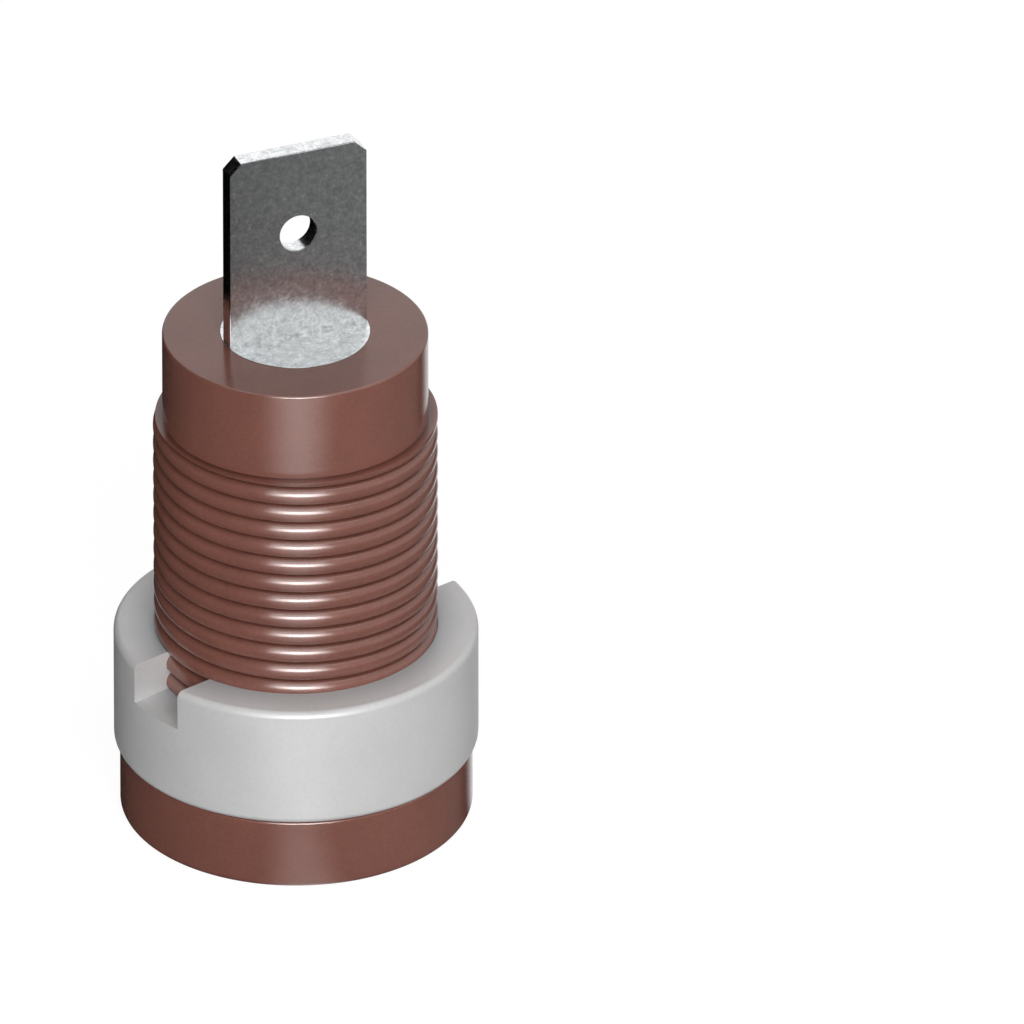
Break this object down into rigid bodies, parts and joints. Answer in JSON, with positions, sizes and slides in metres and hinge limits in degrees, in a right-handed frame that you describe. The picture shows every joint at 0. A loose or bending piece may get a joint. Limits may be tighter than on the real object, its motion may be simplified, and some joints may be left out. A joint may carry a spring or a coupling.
{
  "type": "panel-mount banana connector",
  "caption": "Panel-mount safety banana socket: collared insulator with a threaded shank, slotted ring nut, and a metal contact with a flat push-on tab.",
  "frame": {"origin": "centre of the mating face, where the collar's flat front meets the plug", "axes": "+Z along the connector's axis from the mating face to the rear tab; +X along the width of the flat tab; +Y through its thickness"},
  "size_m": [0.0154, 0.0154, 0.0316],
  "materials": {
    "brown_plastic": "satin moulded",
    "grey_plastic": "matte moulded",
    "plated_contact": "dull nickel plating, faintly mottled"
  },
  "bodies": {
    "socket": {"insulator_body": "brown_plastic", "tab_contact": "plated_contact"},
    "nut": {"ring_nut": "grey_plastic"}
  },
  "joints": [
    {"name": "nut_travel", "type": "slide", "parent": "socket", "child": "nut", "axis": [0, 0, 1], "range_m": [0, 0.0156]}
  ]
}
